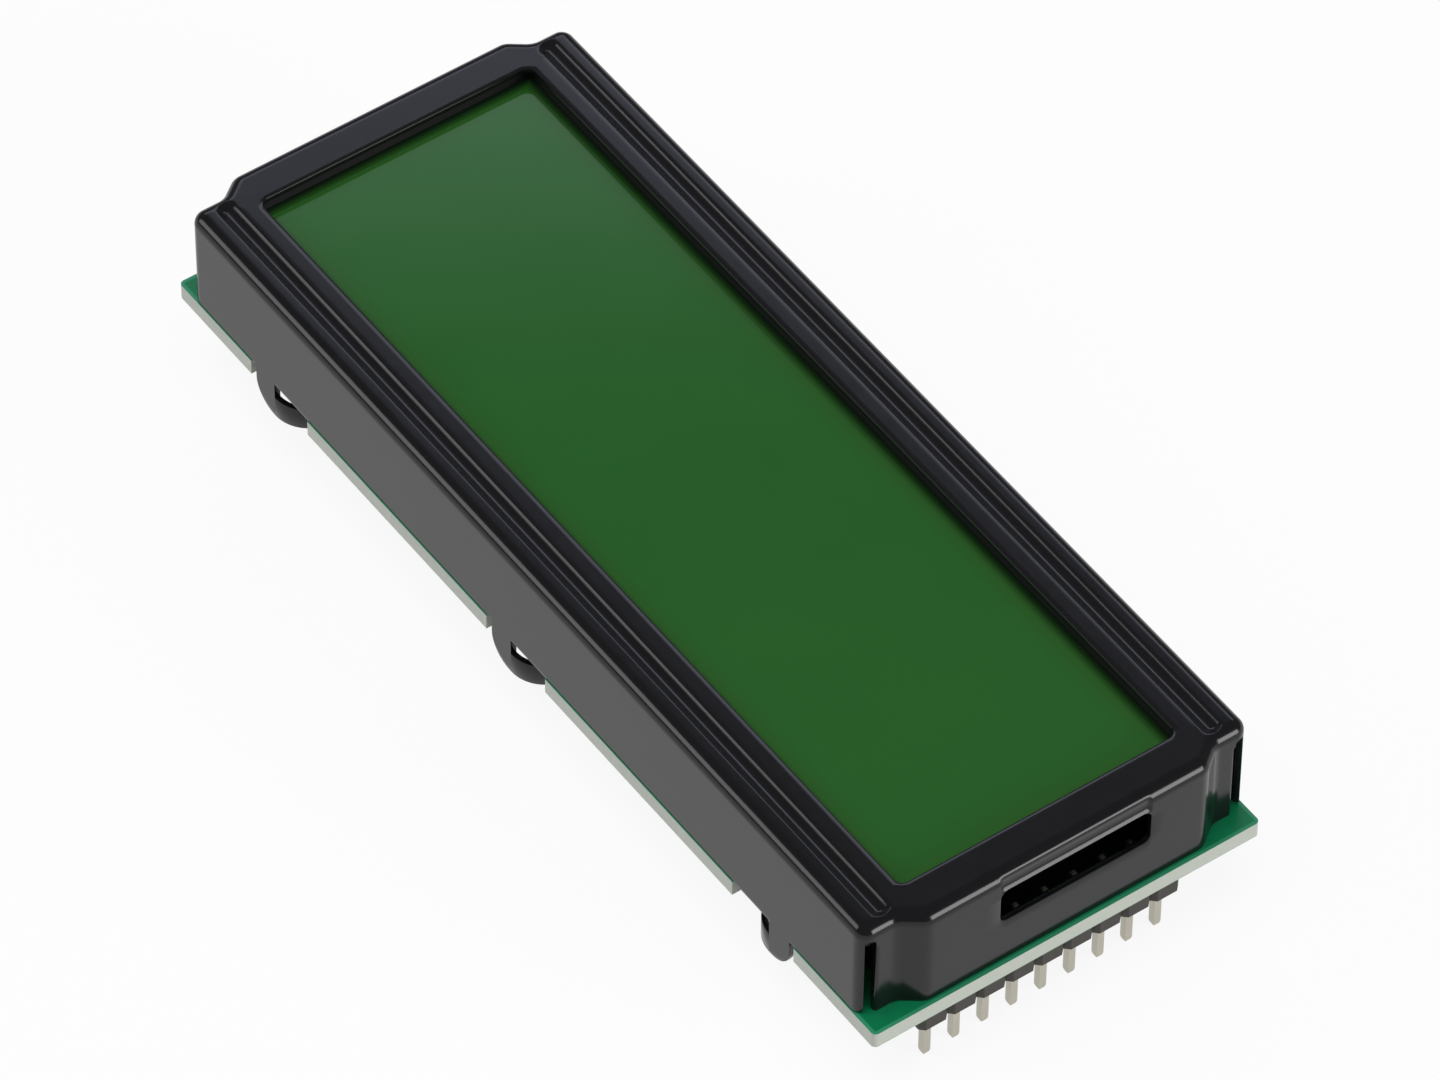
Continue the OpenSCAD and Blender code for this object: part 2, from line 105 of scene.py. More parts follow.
def make_grain_group():
    """Fine surface grain: a mottling mask, and a height for a Bump node, at a scale given per metre."""
    group = bpy.data.node_groups.new("surface_grain", "ShaderNodeTree")
    for way, names in (("INPUT", ("Fine Scale", "Coarse Scale")), ("OUTPUT", ("Height", "Mottle"))):
        for name in names:
            group.interface.new_socket(name, in_out=way, socket_type="NodeSocketFloat")
    entry = group.nodes.new("NodeGroupInput")
    leave = group.nodes.new("NodeGroupOutput")
    place = group.nodes.new("ShaderNodeTexCoord")
    fine = add(group, "ShaderNodeTexNoise", Detail=4.0, Roughness=0.6)
    coarse = add(group, "ShaderNodeTexNoise", Detail=3.0, Roughness=0.5)
    for noise, scale, out in ((fine, "Fine Scale", "Height"), (coarse, "Coarse Scale", "Mottle")):
        group.links.new(place.outputs["Object"], noise.inputs["Vector"])
        group.links.new(entry.outputs[scale], noise.inputs["Scale"])
        group.links.new(noise.outputs["Fac"], leave.inputs[out])
    return group


GRAIN = make_grain_group()


def grained(name, colour, darker, rough, coarse=600.0, bump=0.1, **sockets):
    """A finish whose colour and roughness drift between two values, with a fine grained surface."""
    made, tree, shader = material(name)
    grain = add(tree, "ShaderNodeGroup", node_tree=GRAIN, Fine_Scale=GRAIN_SCALE, Coarse_Scale=coarse)
    tint = add(tree, "ShaderNodeMix", data_type="RGBA")
    tint.inputs["A"].default_value = (*darker, 1.0)
    tint.inputs["B"].default_value = (*colour, 1.0)
    tree.links.new(grain.outputs["Mottle"], tint.inputs["Factor"])
    tree.links.new(tint.outputs["Result"], shader.inputs["Base Color"])
    gloss = add(tree, "ShaderNodeMapRange", To_Min=rough[0], To_Max=rough[1])
    tree.links.new(grain.outputs["Mottle"], gloss.inputs["Value"])
    tree.links.new(gloss.outputs["Result"], shader.inputs["Roughness"])
    relief = add(tree, "ShaderNodeBump", Strength=bump, Distance=GRAIN_DEPTH)
    tree.links.new(grain.outputs["Height"], relief.inputs["Height"])
    tree.links.new(relief.outputs["Normal"], shader.inputs["Normal"])
    for socket, value in sockets.items():
        shader.inputs[socket.replace("_", " ")].default_value = value
    return made


def inside_box(tree, low, high):
    """A mask that is 1 where a point lies between two corners, in metres: the product of six comparisons."""
    axes = point_axes(tree)
    tests = []
    for axis, least, most in zip("XYZ", low, high):
        tests.append(maths(tree, "GREATER_THAN", axes[axis], least))
        tests.append(maths(tree, "LESS_THAN", axes[axis], most))
    mask = tests[0]
    for test in tests[1:]:
        mask = maths(tree, "MULTIPLY", mask, test)
    return mask


def recolour(made, mask, colour):
    """Mixes a colour over what feeds a material's Base Color, where a mask says."""
    tree = made.node_tree
    shader = next(node for node in tree.nodes if node.type == "BSDF_PRINCIPLED")
    base = shader.inputs["Base Color"]
    mix = add(tree, "ShaderNodeMix", data_type="RGBA")
    mix.inputs["B"].default_value = (*colour, 1.0)
    tree.links.new(mask, mix.inputs["Factor"])
    tree.links.new(base.links[0].from_socket, mix.inputs["A"])
    tree.links.new(mix.outputs["Result"], base)


def board_finish():
    """Green solder mask, pulled back from the board's rim, over pale laminate that shows at the edges."""
    made = grained("board_green", (0.005, 0.205, 0.08), (0.0035, 0.155, 0.06), (0.3, 0.42),
                   Specular_IOR_Level=0.35)
    bare_rim, laminate, over_copper = (0.035, 0.27, 0.14), (0.47, 0.5, 0.44), (0.014, 0.29, 0.125)
    tree = made.node_tree
    low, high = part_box("circuit_board")
    rim = 0.28 * MM
    skin = 0.02 * MM
    masked = inside_box(tree, (low[0] + rim, low[1] + rim, -FAR), (high[0] - rim, high[1] - rim, FAR))
    recolour(made, maths(tree, "SUBTRACT", 1.0, masked), bare_rim)
    recolour(made, inside_box(tree, (-FAR, -FAR, low[2] + skin), (FAR, FAR, high[2] - skin)), laminate)
    recolour(made, inside_box(tree, (-FAR, -FAR, -FAR), (FAR, FAR, low[2] - 0.2 * skin)), over_copper)
    return made


def rim_distance(tree, node):
    """
    How far a point p lies inside a node's plan rectangle, in metres: the lesser of h - |p - c| on both axes,
    h being the rectangle's half size and c its centre.
    """
    axes = point_axes(tree)
    inside = []
    for axis, least, most in zip("XY", *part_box(node)):
        off_centre = maths(tree, "ABSOLUTE", maths(tree, "SUBTRACT", axes[axis], (least + most) / 2))
        inside.append(maths(tree, "SUBTRACT", (most - least) / 2, off_centre))
    return maths(tree, "MINIMUM", *inside)


# Painted shade in bands along the screen's rim: where each starts and where it is full, in millimetres in
# from the edge, and its colour
SCREEN_PAINTED_SHADE_BANDS = ((3.6, 1.2, (0.021, 0.102, 0.0135)), (2.0, 0.8, (0.005, 0.014, 0.005)))


def screen_with_painted_rim_shade():
    """Dark green film with painted shade: darker in soft bands along its rim, where less light would reach
    the layer under it.
    """
    made = grained("screen_green", (0.0175, 0.111, 0.0172), (0.0155, 0.103, 0.0152), (0.05, 0.07),
                   bump=0.02, coarse=120.0)
    tree = made.node_tree
    depth = rim_distance(tree, "front_polarizer")
    # Each band mixes a darker green over the film near the rim: painted shade, not a colour of the film
    # itself
    for start, full, colour in SCREEN_PAINTED_SHADE_BANDS:
        band = add(tree, "ShaderNodeMapRange", interpolation_type="SMOOTHSTEP",
                   From_Min=full * MM, From_Max=start * MM, To_Min=1.0, To_Max=0.0)
        tree.links.new(depth, band.inputs["Value"])
        recolour(made, band.outputs["Result"], colour)
    return made


# ---------------------------------------------------------------- finishes

FINISHES = {
    "board_green": board_finish(),
    "bezel_black": grained("bezel_black", (0.0062, 0.0062, 0.0072), (0.0045, 0.0045, 0.0052), (0.14, 0.19),
                           bump=0.05, Specular_IOR_Level=0.4),
    "gasket_black": grained("gasket_black", (0.008, 0.008, 0.009), (0.005, 0.005, 0.006), (0.8, 0.95)),
    "screen_green": screen_with_painted_rim_shade(),
    "glass_clear": grained("glass_clear", (0.1, 0.17, 0.13), (0.07, 0.13, 0.1), (0.08, 0.14)),
    "film_green": grained("film_green", (0.2, 0.36, 0.16), (0.16, 0.3, 0.12), (0.3, 0.4)),
    "strip_silicone": grained("strip_silicone", (0.5, 0.36, 0.32), (0.42, 0.3, 0.27), (0.6, 0.8)),
    "sheet_white": grained("sheet_white", (0.75, 0.75, 0.72), (0.68, 0.68, 0.65), (0.5, 0.7)),
    "guide_acrylic": grained("guide_acrylic", (0.6, 0.74, 0.58), (0.54, 0.68, 0.52), (0.1, 0.2)),
    "tray_black": grained("tray_black", (0.012, 0.012, 0.013), (0.008, 0.008, 0.009), (0.5, 0.7)),
    "lamp_board_white": grained("lamp_board_white", (0.7, 0.67, 0.56), (0.62, 0.6, 0.5), (0.4, 0.5)),
    "lamp_yellow": grained("lamp_yellow", (0.62, 0.55, 0.1), (0.5, 0.44, 0.08), (0.2, 0.3)),
    "pin_tinned": grained("pin_tinned", (0.6, 0.575, 0.49), (0.5, 0.475, 0.4), (0.34, 0.5), Metallic=1.0),
    "header_black": grained("header_black", (0.038, 0.033, 0.026), (0.026, 0.022, 0.017), (0.42, 0.55)),
    "solder_tin": grained("solder_tin", (0.66, 0.66, 0.64), (0.5, 0.5, 0.49), (0.2, 0.4), Metallic=1.0),
    "resin_black": grained("resin_black", (0.012, 0.012, 0.012), (0.008, 0.008, 0.008), (0.25, 0.45)),
    "resistor_black": grained("resistor_black", (0.02, 0.02, 0.02), (0.012, 0.012, 0.012), (0.3, 0.5)),
    "capacitor_tan": grained("capacitor_tan", (0.4, 0.25, 0.12), (0.32, 0.2, 0.1), (0.4, 0.5)),
}

for part in frame["record"]["subparts"]:
    solid = frame["nodes"][part["node"]]
    solid.data.materials.clear()
    solid.data.materials.append(FINISHES[part["material_slot"]])


# ---------------------------------------------------------------- sizes, in millimetres

def corners(node):
    """Lowest and highest corner of a solid, in millimetres."""
    low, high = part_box(node)
    return np.array(low) / MM, np.array(high) / MM


BEZEL_LOW, BEZEL_HIGH = corners("bezel")
BOARD_LOW, BOARD_HIGH = corners("circuit_board")
FILM_HIGH = corners("front_polarizer")[1]

END_FACE, SIDE_FACE, TOP = BEZEL_HIGH
BOARD_TOP = BOARD_HIGH[2]
BOARD_BOTTOM = BOARD_LOW[2]

# Places nearer than MERGED become one, HAIR parts the two sides of a sharp step, QUARTER rounds an edge, and
# faces that meet at more than CREASE keep a sharp edge
MERGED = 0.0005
HAIR = 0.01
QUARTER = np.radians([0.0, 45.0, 90.0])
CREASE = math.radians(32.0)

# Bezel: sheet, folds and bends. The flat of an end stops FLAT_SHORT before the side face
SHEET = 0.5
FOLD = 1.0
EDGE = 0.1
FOLD_START = TOP - FOLD
STEP_RADIUS = 1.5
STEP_SLOPE = 1.2
STEP_ANGLE = math.atan2(3, 4)
SLOPE_NORMAL = np.array([math.cos(STEP_ANGLE), math.sin(STEP_ANGLE)])
SLOPE_RUN = np.array([-math.sin(STEP_ANGLE), math.cos(STEP_ANGLE)])
CORNER = 1.1
FLAT_SHORT = 5.25
OUTER_BEND = np.array([END_FACE - STEP_RADIUS, SIDE_FACE - FLAT_SHORT])
INNER_BEND = OUTER_BEND + 2 * STEP_RADIUS * SLOPE_NORMAL + STEP_SLOPE * SLOPE_RUN
BACK_FACE = INNER_BEND[0] - STEP_RADIUS
CORNER_CENTRE = np.array([BACK_FACE - CORNER, SIDE_FACE - CORNER])

# Bezel: window, and the ledge of film under its rim
FILM_LEDGE = 0.9
WINDOW = FILM_HIGH[:2] - FILM_LEDGE
WINDOW_CORNER = 0.7

# Bezel: grooves, each pressed by a round bar that is followed out to a share BAR_REACH of its radius
GROOVE_Y = SIDE_FACE - 2.45
GROOVE_WIDTH = 1.45
GROOVE_RUN = END_FACE - 2.1 - GROOVE_WIDTH / 2
GROOVE_DEPTH = 0.35
GROOVE_SHOULDER = 0.08
BAR_REACH = 0.99

# Bezel: corner slits, and the side walls' lower corners beside them
SLIT = (SIDE_FACE - 1.22, SIDE_FACE - 0.4)
SLIT_HALF = (SLIT[1] - SLIT[0]) / 2
SLIT_TOP = FOLD_START - 0.3 - SLIT_HALF
SLIT_ROUND = 0.3
SLIT_FADE = 0.4
SLIT_DEEPEST = SHEET - 2.2 * EDGE
FOOT = 1.2

# Bezel: the slot in the near end's wall, and the hollow lip over it, from its edge up to the fold
SLOT_SHIFT = 0.7
SLOT_HALF = np.array([13.05, 3.15]) / 2
SLOT_CORNER = 0.6
SLOT_MIDDLE = FOLD_START - 0.8 - SLOT_HALF[1]
LIP_HOLLOW = 0.24
LIP_SLOPE = 0.5
LIP_EDGE = 0.06
LIP_FADE = 0.35
LIP_TOP = 0.8

# Bezel: hooks. Each hangs at a notch and its arm points to one side. The arm bends round in steps of
# ARM_TURN, and ARM_TIP is the share of its section at the rounded tip
HOOK_PLACES = ((-30.48, 1), (0.0, 1), (30.48, -1))
HOOK_START = 3.1
NECK = 2.4
HOOK_CORNER = 2.2
ARM_HEIGHT = 2.0
ARM_RADIUS = 3.0
ARM_ANGLE = math.radians(72)
ARM_TURN = 0.06
ARM_TIP = 0.8
HOOK_BOTTOM = BEZEL_LOW[2]

# Bezel: greatest gaps between places in plan, and greatest turns between them in radians
BEND_TURN = 0.08
CORNER_TURN = 0.1
ROUND_TURN = 0.2
SLIT_STEP = 0.06
BACK_STEP = 0.2
FLAT_STEP = 1.2
SLOT_STEP = 0.8
FAR_STEP = 2.0
SIDE_STEP = 4.0
SIDE_END = 2.4
SIDE_END_STEP = 0.12

# Bezel: rows of the surface, as shares of a height or of the way from the fold to the window, and turns
BELOW_SLOT = np.linspace(0.05, 1, 6)
ABOVE_SLOT = np.linspace(0, 1, 15)
FOLD_TURNS = np.radians(np.arange(6, 91, 6))
TOP_SHARES = np.concatenate([np.linspace(0, 0.14, 4)[1:], np.linspace(0.16, 0.62, 22),
                             np.linspace(0.7, 1, 4)])
UNDER_SHARES = np.linspace(1, 0, 18)[1:]
INNER_FOLD_TURNS = np.radians(np.arange(72, -1, -18))
INNER_ABOVE_SLOT = np.linspace(1, 0, 6)[1:]
INNER_BELOW_SLOT = np.linspace(1, 0.05, 4)

# Header pins
PIN_PITCH = 2.54
PIN_FLAT = 0.11
PIN_ROUND = 0.5
PIN_POWER = 16
PIN_SIDES = 32
PIN_TURNS = np.radians([0.0, 20.0, 40.0, 60.0, 75.0, 90.0])
HEADER_EDGE = 40.38

# Underside: resin caps. ROUND_SIDES is how many sides a large round has
CAP_X = 17.0
CAP_RADIUS = 7.5
RING_RADIUS = 8.3
ROUND_SIDES = 120
CAP_TURN = 0.06

# Underside: chips. Each row is its count, its side and the height of its chips
CHIP_Y = BOARD_HIGH[1] - 5.4
CHIP_PITCH = 3.2
CHIP_WIDTH = 1.25
CHIP_LENGTH = 2.0
RESISTORS = (6, 1, 0.5)
CAPACITORS = (4, -1, 1.1)

# Underside: the chips' tinned ends, and their solder, whose section is carried across by SOLDER_ACROSS half
# widths at SOLDER_SHARE of its size
BLOCK_POWER = 9.0
BLOCK_SIDES = 20
BLOCK_ROWS = 11
TIN_SKIN = 0.02
TIN_HALF = 0.2
SOLDER_CLIMB = 0.7
SOLDER_RUN = 0.5
SOLDER_FOOT = 0.62
SOLDER_SIDE = 0.04
SOLDER_THIN = 0.03
SOLDER_HOLLOW = 0.9
SOLDER_TURNS = np.radians([0.0, 22.5, 45.0, 67.5, 90.0])
SOLDER_ACROSS = np.array([-1.0, -1.0, -0.9, 0.9, 1.0, 1.0])[:, None]
SOLDER_SHARE = np.array([0.0, 0.9, 1.0, 1.0, 0.9, 0.0])[:, None]

# Underside: a strip's section, as shares of its half width and of its height, and the tracks from the headers
STRIP_ACROSS = np.array([-1.0, -0.85, -0.6, 0.6, 0.85, 1.0])
STRIP_DROP = np.array([0.0, 0.7, 1.0, 1.0, 0.7, 0.0])
TRACK_WIDTH = 0.32
TRACK_HEIGHT = 0.03
BUS_PITCH = 0.9
BUS_START = 30.0
BUS_LAP = 0.5

# Underside: tracks between the caps, and those that fan out from the chips' pads to the caps
LINK_END = 9.9
LINK_ROWS = np.arange(-2.4, 2.5, 0.8)
PAD = 0.5
FAN_DROP = 2.0
FAN_LEVEL = 3.3
FAN_RISE = 0.3125
FAN_SHIFT = 1.6
FAN_LAP = 0.6

# Underside: tinned rings: the radii and drops of their profile, and where they lie
VIA_RADII = np.array([0.0, 0.14, 0.17, 0.2, 0.34, 0.4, 0.42, 0.0])[:, None]
VIA_DROPS = np.array([0.005, 0.005, 0.03, 0.04, 0.04, 0.03, 0.0, 0.0])[:, None]
VIA_SIDES = 24
VIA_X = (-CAP_X - RING_RADIUS, -11.6, 11.6, CAP_X + RING_RADIUS)
VIA_PAST_CHIP = 2.0

# Underside: printed lines, and how far a chip's frame stands off it
INK_WIDTH = 0.16
INK_HEIGHT = 0.04
INK_GAP = np.array([0.35, 0.85])


# ---------------------------------------------------------------- surfaces worked out with numpy

def grid_faces(rows, columns, close_rows=False, close_columns=False):
    """Corner numbers of the quads between rows and columns of a grid of points, as rows x columns x 4."""
    row = np.arange(rows if close_rows else rows - 1)[:, None]
    column = np.arange(columns if close_columns else columns - 1)[None, :]
    next_row, next_column = (row + 1) % rows, (column + 1) % columns
    parts = (row * columns + column, row * columns + next_column,
             next_row * columns + next_column, next_row * columns + column)
    return np.stack(np.broadcast_arrays(*parts), axis=-1)


def surface(points, close_rows=False, close_columns=False, keep=None):
    """Points and quads of a grid of points; keep says which quads stay."""
    faces = grid_faces(*points.shape[:2], close_rows, close_columns)
    faces = faces.reshape(-1, 4) if keep is None else faces[keep]
    return points.reshape(-1, 3), faces


def grid(x, y, z):
    """A grid of points from three arrays that fit one another."""
    return np.stack(np.broadcast_arrays(x, y, z), axis=-1)


def placed(name, data):
    """An object at the origin, linked to the scene."""
    made = bpy.data.objects.new(name, data)
    bpy.context.scene.collection.objects.link(made)
    return made


def piece(name, slot, surfaces, replaced=()):
    """
    One object of several surfaces given in millimetres: doubles merged, faces turned outward, and edges
    sharper than CREASE kept sharp.
    """
    starts = np.cumsum([0] + [len(points) for points, faces in surfaces])
    points = np.concatenate([points for points, faces in surfaces]) * MM
    faces = np.concatenate([faces + start for (_, faces), start in zip(surfaces, starts)])
    mesh = bpy.data.meshes.new(name)
    mesh.from_pydata(points.tolist(), [], faces.tolist())
    work = bmesh.new()
    work.from_mesh(mesh)
    bmesh.ops.remove_doubles(work, verts=work.verts, dist=MERGED * MM)
    bmesh.ops.dissolve_degenerate(work, edges=work.edges, dist=MERGED / 5 * MM)
    bmesh.ops.recalc_face_normals(work, faces=work.faces)
    work.to_mesh(mesh)
    work.free()
    mesh.shade_smooth()
    mesh.set_sharp_from_angle(angle=CREASE)
    mesh.materials.append(FINISHES[slot])
    made = placed(name, mesh)
    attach(made, "root")
    if replaced:
        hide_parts(*replaced)


def smooth_step(value):
    """0 below 0, 1 above 1, and 3v^2 - 2v^3 between."""
    v = np.clip(value, 0.0, 1.0)
    return v * v * (3 - 2 * v)


def spread(start, end, step):
    """Even places from start to end, no further apart than step."""
    return np.linspace(start, end, max(2, int(math.ceil(abs(end - start) / step)) + 1))


def full_turn(sides):
    """Angles of a whole turn, one to a side."""
    return np.linspace(0, 2 * math.pi, sides, endpoint=False)


def arc(centre, radius, angles, hollow=False):
    """Points and outward normals round a centre; a hollow arc has its centre outside the bezel."""
    normals = np.stack([np.cos(angles), np.sin(angles)], axis=1)
    return centre + (-radius if hollow else radius) * normals, normals


def corner_run():
    """The wall from an end's flat to a long side: bend, slope, bend, set-back stretch and corner."""
    bend = spread(0, STEP_ANGLE, BEND_TURN)
    edge_angle = math.asin((SLIT[1] - CORNER_CENTRE[1]) / CORNER)
    hair_angle = HAIR / (CORNER * math.cos(edge_angle))
    back = np.concatenate([spread(INNER_BEND[1], SLIT[0] - SLIT_ROUND, BACK_STEP),
                           spread(SLIT[0] - SLIT_ROUND, SLIT[0] - HAIR, SLIT_STEP)[1:],
                           spread(SLIT[0] + HAIR, CORNER_CENTRE[1], SLIT_STEP)])
    turn = np.concatenate([spread(0, edge_angle - hair_angle, BEND_TURN)[1:],
                           spread(edge_angle + hair_angle, math.pi / 2, CORNER_TURN)])
    back_points = np.stack([np.full(len(back), BACK_FACE), back], axis=1)
    back_normals = np.tile([1.0, 0.0], (len(back), 1))
    parts = [arc(OUTER_BEND, STEP_RADIUS, bend[1:]),
             arc(INNER_BEND, STEP_RADIUS, bend[::-1][:-1], hollow=True),
             (back_points, back_normals),
             arc(CORNER_CENTRE, CORNER, turn)]
    return tuple(np.concatenate(side) for side in zip(*parts))


def round_places(radius):
    """Places along a round corner's width, from its edge inward: r (1 - cos a)."""
    return radius * (1 - np.cos(spread(0, math.pi / 2, ROUND_TURN)))


def flat_places():
    """Places across the near end's flat, close together at the slot's round ends."""
    half = SLOT_HALF[0] + EDGE
    turn = round_places(SLOT_CORNER + EDGE)
    low, high = SLOT_SHIFT - half, SLOT_SHIFT + half
    return np.concatenate([spread(-OUTER_BEND[1], low, FLAT_STEP)[:-1], low + turn[:-1],
                           spread(low + turn[-1], high - turn[-1], SLOT_STEP),
                           (high - turn)[::-1][1:], spread(high, OUTER_BEND[1], FLAT_STEP)[1:]])


def side_places():
    """Places along a long side, close together at the grooves' ends and across the hooks' necks."""
    reach = CORNER_CENTRE[0]
    places = [spread(-reach, SIDE_END - reach, SIDE_END_STEP), spread(reach - SIDE_END, reach, SIDE_END_STEP),
              spread(-reach, reach, SIDE_STEP)]
    for place, way in HOOK_PLACES:
        start = place - way * HOOK_START
        for distance in (-HAIR, *(round_places(HOOK_CORNER) + HAIR), NECK - HAIR, NECK + HAIR):
            places.append(np.array([start + way * distance]))
    places = np.unique(np.round(np.concatenate(places), 4))
    return places[np.concatenate([[True], np.diff(places) > HAIR / 2])]


def bezel_outline():
    """The outer wall's plan, counter-clockwise from the near end: points and outward normals."""
    run, turn = corner_run()
    near = flat_places()
    far = spread(-OUTER_BEND[1], OUTER_BEND[1], FAR_STEP)
    along = side_places()[1:-1]
    flip_x, flip_y, flip_both = np.array([-1.0, 1.0]), np.array([1.0, -1.0]), np.array([-1.0, -1.0])
    fixed = np.ones_like
    parts = [
        (np.stack([END_FACE * fixed(near), near], 1), np.stack([fixed(near), 0 * near], 1)),
        (run, turn),
        (np.stack([along[::-1], SIDE_FACE * fixed(along)], 1), np.stack([0 * along, fixed(along)], 1)),
        (run[::-1] * flip_x, turn[::-1] * flip_x),
        (np.stack([-END_FACE * fixed(far), -far], 1), np.stack([-fixed(far), 0 * far], 1)),
        (run * flip_both, turn * flip_both),
        (np.stack([along, -SIDE_FACE * fixed(along)], 1), np.stack([0 * along, -fixed(along)], 1)),
        (run[::-1] * flip_y, turn[::-1] * flip_y),
    ]
    return tuple(np.concatenate(side) for side in zip(*parts))


def wall_foot(outline):
    """Height of the wall's lower edge at each place: slits, rounded feet and hooks' necks."""
    x, y = outline[:, 0], np.abs(outline[:, 1])
    foot = np.full(len(x), BOARD_TOP)
    beside = (y > SLIT[1]) & (np.abs(x) > BACK_FACE - FOOT)
    foot[beside] = BOARD_TOP + FOOT - np.sqrt(FOOT ** 2 - (np.abs(x[beside]) - BACK_FACE + FOOT) ** 2)
    open_part = (y > SLIT[0]) & (y < SLIT[1])
    off_middle = y[open_part] - (SLIT[0] + SLIT[1]) / 2
    foot[open_part] = SLIT_TOP + np.sqrt(SLIT_HALF ** 2 - off_middle ** 2)
    for place, way in HOOK_PLACES:
        along = way * (x - place) + HOOK_START
        neck = (y > SIDE_FACE - HAIR) & (along > 0) & (along < NECK)
        rise = np.clip(HOOK_CORNER - along[neck], 0, HOOK_CORNER)
        foot[neck] = HOOK_BOTTOM + HOOK_CORNER - np.sqrt(HOOK_CORNER ** 2 - rise ** 2)
    return foot


def slot_edge(outline, up):
    """Height of the slot's rounded edge at each place: up is 1 for the upper edge and -1 for the lower."""
    half = SLOT_HALF + EDGE
    radius = SLOT_CORNER + EDGE
    past = np.clip(np.abs(outline[:, 1] - SLOT_SHIFT) - (half[0] - radius), 0, radius)
    return SLOT_MIDDLE + up * (half[1] - radius + np.sqrt(radius ** 2 - past ** 2))


def groove_sink(points):
    """
    How far the sheet is pressed down at each point. A round bar of radius r sinks by
    depth - (r - sqrt(r^2 - d^2)) at a distance d from its axis. The soft maximum (a + sqrt(a^2 + s^2)) / 2
    of that and 0 rounds the shoulders, and its value far from the bar is taken off.
    """
    off_run = np.maximum(np.abs(points[..., 0]) - GROOVE_RUN, 0)
    distance = np.hypot(off_run, np.abs(points[..., 1]) - GROOVE_Y)
    bar = ((GROOVE_WIDTH / 2) ** 2 + GROOVE_DEPTH ** 2) / (2 * GROOVE_DEPTH)
    sink = GROOVE_DEPTH - bar + np.sqrt(bar ** 2 - np.minimum(distance, BAR_REACH * bar) ** 2)
    rest = GROOVE_DEPTH - bar + bar * math.sqrt(1 - BAR_REACH ** 2)
    return (sink + np.hypot(sink, GROOVE_SHOULDER) - rest - math.hypot(rest, GROOVE_SHOULDER)) / 2


def window_edge(points, grow):
    """For each point of the plan, the nearest one of the window's round-cornered edge, moved out by grow."""
    core = WINDOW - WINDOW_CORNER
    held = np.clip(points, -core, core)
    away = points - held
    return held + (WINDOW_CORNER + grow) * away / np.linalg.norm(away, axis=1, keepdims=True)


def lip_inset(outline, height):
    """
    How far the wall over the slot is set back: h sin(90 t), in degrees, at a share t of LIP_SLOPE above the
    slot. It fades out at the slot's ends and up the fold.
    """
    inside = smooth_step((SLOT_HALF[0] + EDGE - np.abs(outline[:, 1] - SLOT_SHIFT)) / LIP_FADE)
    near_end = outline[:, 0] > END_FACE - HAIR
    upper = SLOT_MIDDLE + SLOT_HALF[1] + LIP_EDGE
    rise = np.sin(math.pi / 2 * np.clip((height - upper) / LIP_SLOPE, 0, 1))
    fall = smooth_step((FOLD_START + LIP_TOP - height) / LIP_TOP)
    return np.where(near_end, LIP_HOLLOW * inside * rise * fall, 0.0)


def slit_inset(outline, height):
    """How far the end wall turns in beside a slit: a quarter round, fading out at the slit's top."""
    y = np.abs(outline[:, 1])
    past = np.clip(y - SLIT[0] + SLIT_ROUND, 0, SLIT_ROUND - HAIR)
    turn = SLIT_ROUND - np.sqrt(SLIT_ROUND ** 2 - past ** 2)
    beside = (y < SLIT[0]) & (np.abs(outline[:, 0]) > BACK_FACE - HAIR) & (y > INNER_BEND[1])
    fade = smooth_step((SLIT_TOP - height) / SLIT_FADE)
    return np.where(beside, np.minimum(turn, SLIT_DEEPEST) * fade, 0.0)


def edge_turn(angle):
    """How far a rounded edge is in from its two faces at an angle: e (1 - cos a) and e (1 - sin a)."""
    return EDGE * (1 - math.cos(angle)), EDGE * (1 - math.sin(angle))


